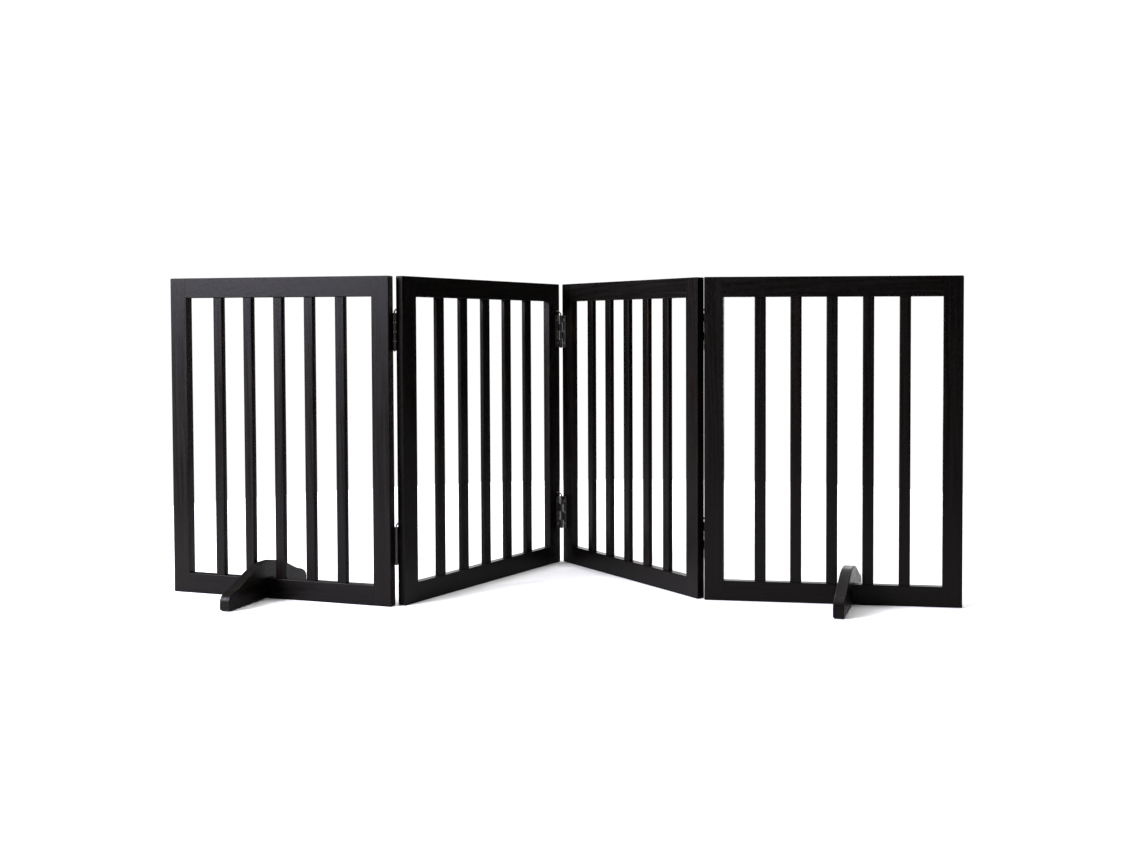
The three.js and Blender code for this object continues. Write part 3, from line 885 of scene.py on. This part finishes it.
half_outline = foot_side()
outline = half_outline + [(-across, up) for across, up in reversed(half_outline)]
for order, (foot_name, degrees) in enumerate(FOOT_TURN.items()):
    foot = extruded(f"{foot_name}_board", outline, 0, -FOOT_THICKNESS / 2, FOOT_THICKNESS / 2)
    shape = bmesh.new()
    shape.from_mesh(foot.data)
    round_off(shape, square_rims(shape, 0), FOOT_ROUNDING)
    shape.to_mesh(foot.data)
    shape.free()
    foot.data.materials.append(wood)
    mark_wood(
        foot.data, 1, FOOT_THICKNESS / 2, FOOT_ROUNDING, board=FIRST_FOOT_BOARD + order,
        thickness_axis=0,
    )
    fair(foot)
    set_in_place(foot, standing(foot_name, degrees), foot_name, "stained_wood", foot_name)

# ---------------------------------------------------------------------------------------------
# Foot pads. Thin slips of black foam rubber are glued under both ends of a foot, so that it
# grips the floor and doesn't mark it.

PAD_LENGTH = 36 * MM
PAD_WIDTH = 18 * MM
PAD_THICKNESS = 1.7 * MM
PAD_CORNER = 2.5 * MM
PAD_CORNER_STEPS = 6
PAD_EDGE = 0.4 * MM


def foam_rubber():
    """Matt black closed-cell foam, pitted all over."""
    finish, recipe = open_finish("black_foam_rubber")
    place = recipe.node("ShaderNodeTexCoord", out="Object")
    cells = recipe.node(
        "ShaderNodeTexVoronoi", {"feature": "SMOOTH_F1"},
        {"Vector": place, "Scale": 1600.0, "Smoothness": 0.3},
    )
    dust = recipe.noise(place, 240.0, 3, 0.6)
    dusty = recipe.band(dust, 0.45, 0.75)
    shade = recipe.blend(dusty, (0.0085, 0.0085, 0.0090, 1), (0.0200, 0.0195, 0.0190, 1))
    close_finish(recipe, cells + dust * 0.3, 0.00015, Base_Color=shade, Roughness=0.86 + dust * 0.1)
    return finish


rubber = foam_rubber()
half_width, half_length = PAD_WIDTH / 2 - PAD_CORNER, PAD_LENGTH / 2 - PAD_CORNER
slip = []
for quarter, (x, y) in enumerate(((1, 1), (-1, 1), (-1, -1), (1, -1))):
    corner = (x * half_width, y * half_length)
    slip += arc(corner, PAD_CORNER, 90 * quarter, 90 * (quarter + 1), PAD_CORNER_STEPS)
for foot_name, degrees in FOOT_TURN.items():
    for end in ("front", "back"):
        node = f"{foot_name}_{end}_pad"
        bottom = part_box(node)[0].z
        pad = extruded(f"{foot_name}_{end}_foam_pad", slip, 2, bottom, bottom + PAD_THICKNESS)
        ease_edges(pad, PAD_EDGE, segments=3)
        pad.data.materials.append(rubber)
        fair(pad)
        set_in_place(pad, standing(node, degrees), foot_name, "foot_pad", node)

# ---------------------------------------------------------------------------------------------
# The stage. A pale floor and a white surround, with large soft lights at the left, overhead and
# behind. The camera stands a little lower than the top of the panels.

FLOOR_RADIUS = 1.7
FLOOR_SIDES = 96
SURROUND_GLOW = 0.03
COOL_WHITE = (0.87, 0.86, 1.0)
WHITE = (1.0, 1.0, 1.0)
# Each light: its place, the point it faces, its width and height, its power in watts, its colour.
LIGHTS = {
    "left_softbox": ((-2.9, -2.0, 1.75), (-0.4, 0.0, 0.5), (2.0, 1.6), 470.0, COOL_WHITE),
    "overhead_softbox": ((0.0, 0.9, 3.2), (0.0, 0.3, 0.0), (4.5, 3.4), 180.0, WHITE),
    "back_screen": ((0.0, 4.2, 1.2), (0.0, 0.0, 0.6), (4.0, 2.4), 90.0, WHITE),
}
CAMERA_PLACE = (0.5564, -2.3135, 0.5125)
CAMERA_TILT = 90 - 1.697
CAMERA_TURN = 5.588
FILM_WIDTH = 36
LENS = 37.71
LENS_SHIFT = (-0.145, -0.0555)

floor = new_piece("floor")
rim = arc((0, 0), FLOOR_RADIUS, 0, 360 - 360 / FLOOR_SIDES, FLOOR_SIDES - 1)
floor.data.from_pydata([(x, y, 0) for x, y in rim], [], [range(FLOOR_SIDES)])
floor_finish, recipe = open_finish("pale_floor")
floor_cloud = recipe.noise(recipe.node("ShaderNodeTexCoord", out="Object"), 3.0, 2, 0.5)
close_finish(
    recipe, floor_cloud, 0.0001,
    Base_Color=(0.90, 0.90, 0.90, 1), Roughness=0.9, Specular_IOR_Level=0.1,
)
floor.data.materials.append(floor_finish)

world = bpy.data.worlds.new("white_surround")
world.use_nodes = True
world.node_tree.nodes.clear()
recipe = Recipe(world.node_tree)
seen = recipe.node("ShaderNodeLightPath", out="Is Camera Ray")
surround = recipe.node(
    "ShaderNodeBackground", {}, {"Color": (*WHITE, 1), "Strength": SURROUND_GLOW + seen}
)
recipe.node("ShaderNodeOutputWorld", {}, {"Surface": surround})
bpy.context.scene.world = world

for name, (place, aim, (wide, tall), power, colour) in LIGHTS.items():
    lamp = bpy.data.lights.new(name, "AREA")
    lamp.shape, lamp.size, lamp.size_y = "RECTANGLE", wide, tall
    lamp.energy, lamp.color = power, colour
    softbox = bpy.data.objects.new(name, lamp)
    softbox.location = place
    softbox.rotation_euler = (Vector(aim) - Vector(place)).to_track_quat("-Z", "Y").to_euler()
    softbox.visible_camera = False
    bpy.context.scene.collection.objects.link(softbox)

camera = bpy.data.objects.new("camera", bpy.data.cameras.new("camera"))
camera.location = CAMERA_PLACE
camera.rotation_euler = (math.radians(CAMERA_TILT), 0, math.radians(CAMERA_TURN))
camera.data.sensor_width, camera.data.lens = FILM_WIDTH, LENS
camera.data.shift_x, camera.data.shift_y = LENS_SHIFT
bpy.context.scene.collection.objects.link(camera)
bpy.context.scene.camera = camera
bpy.context.scene.view_settings.view_transform = "Standard"
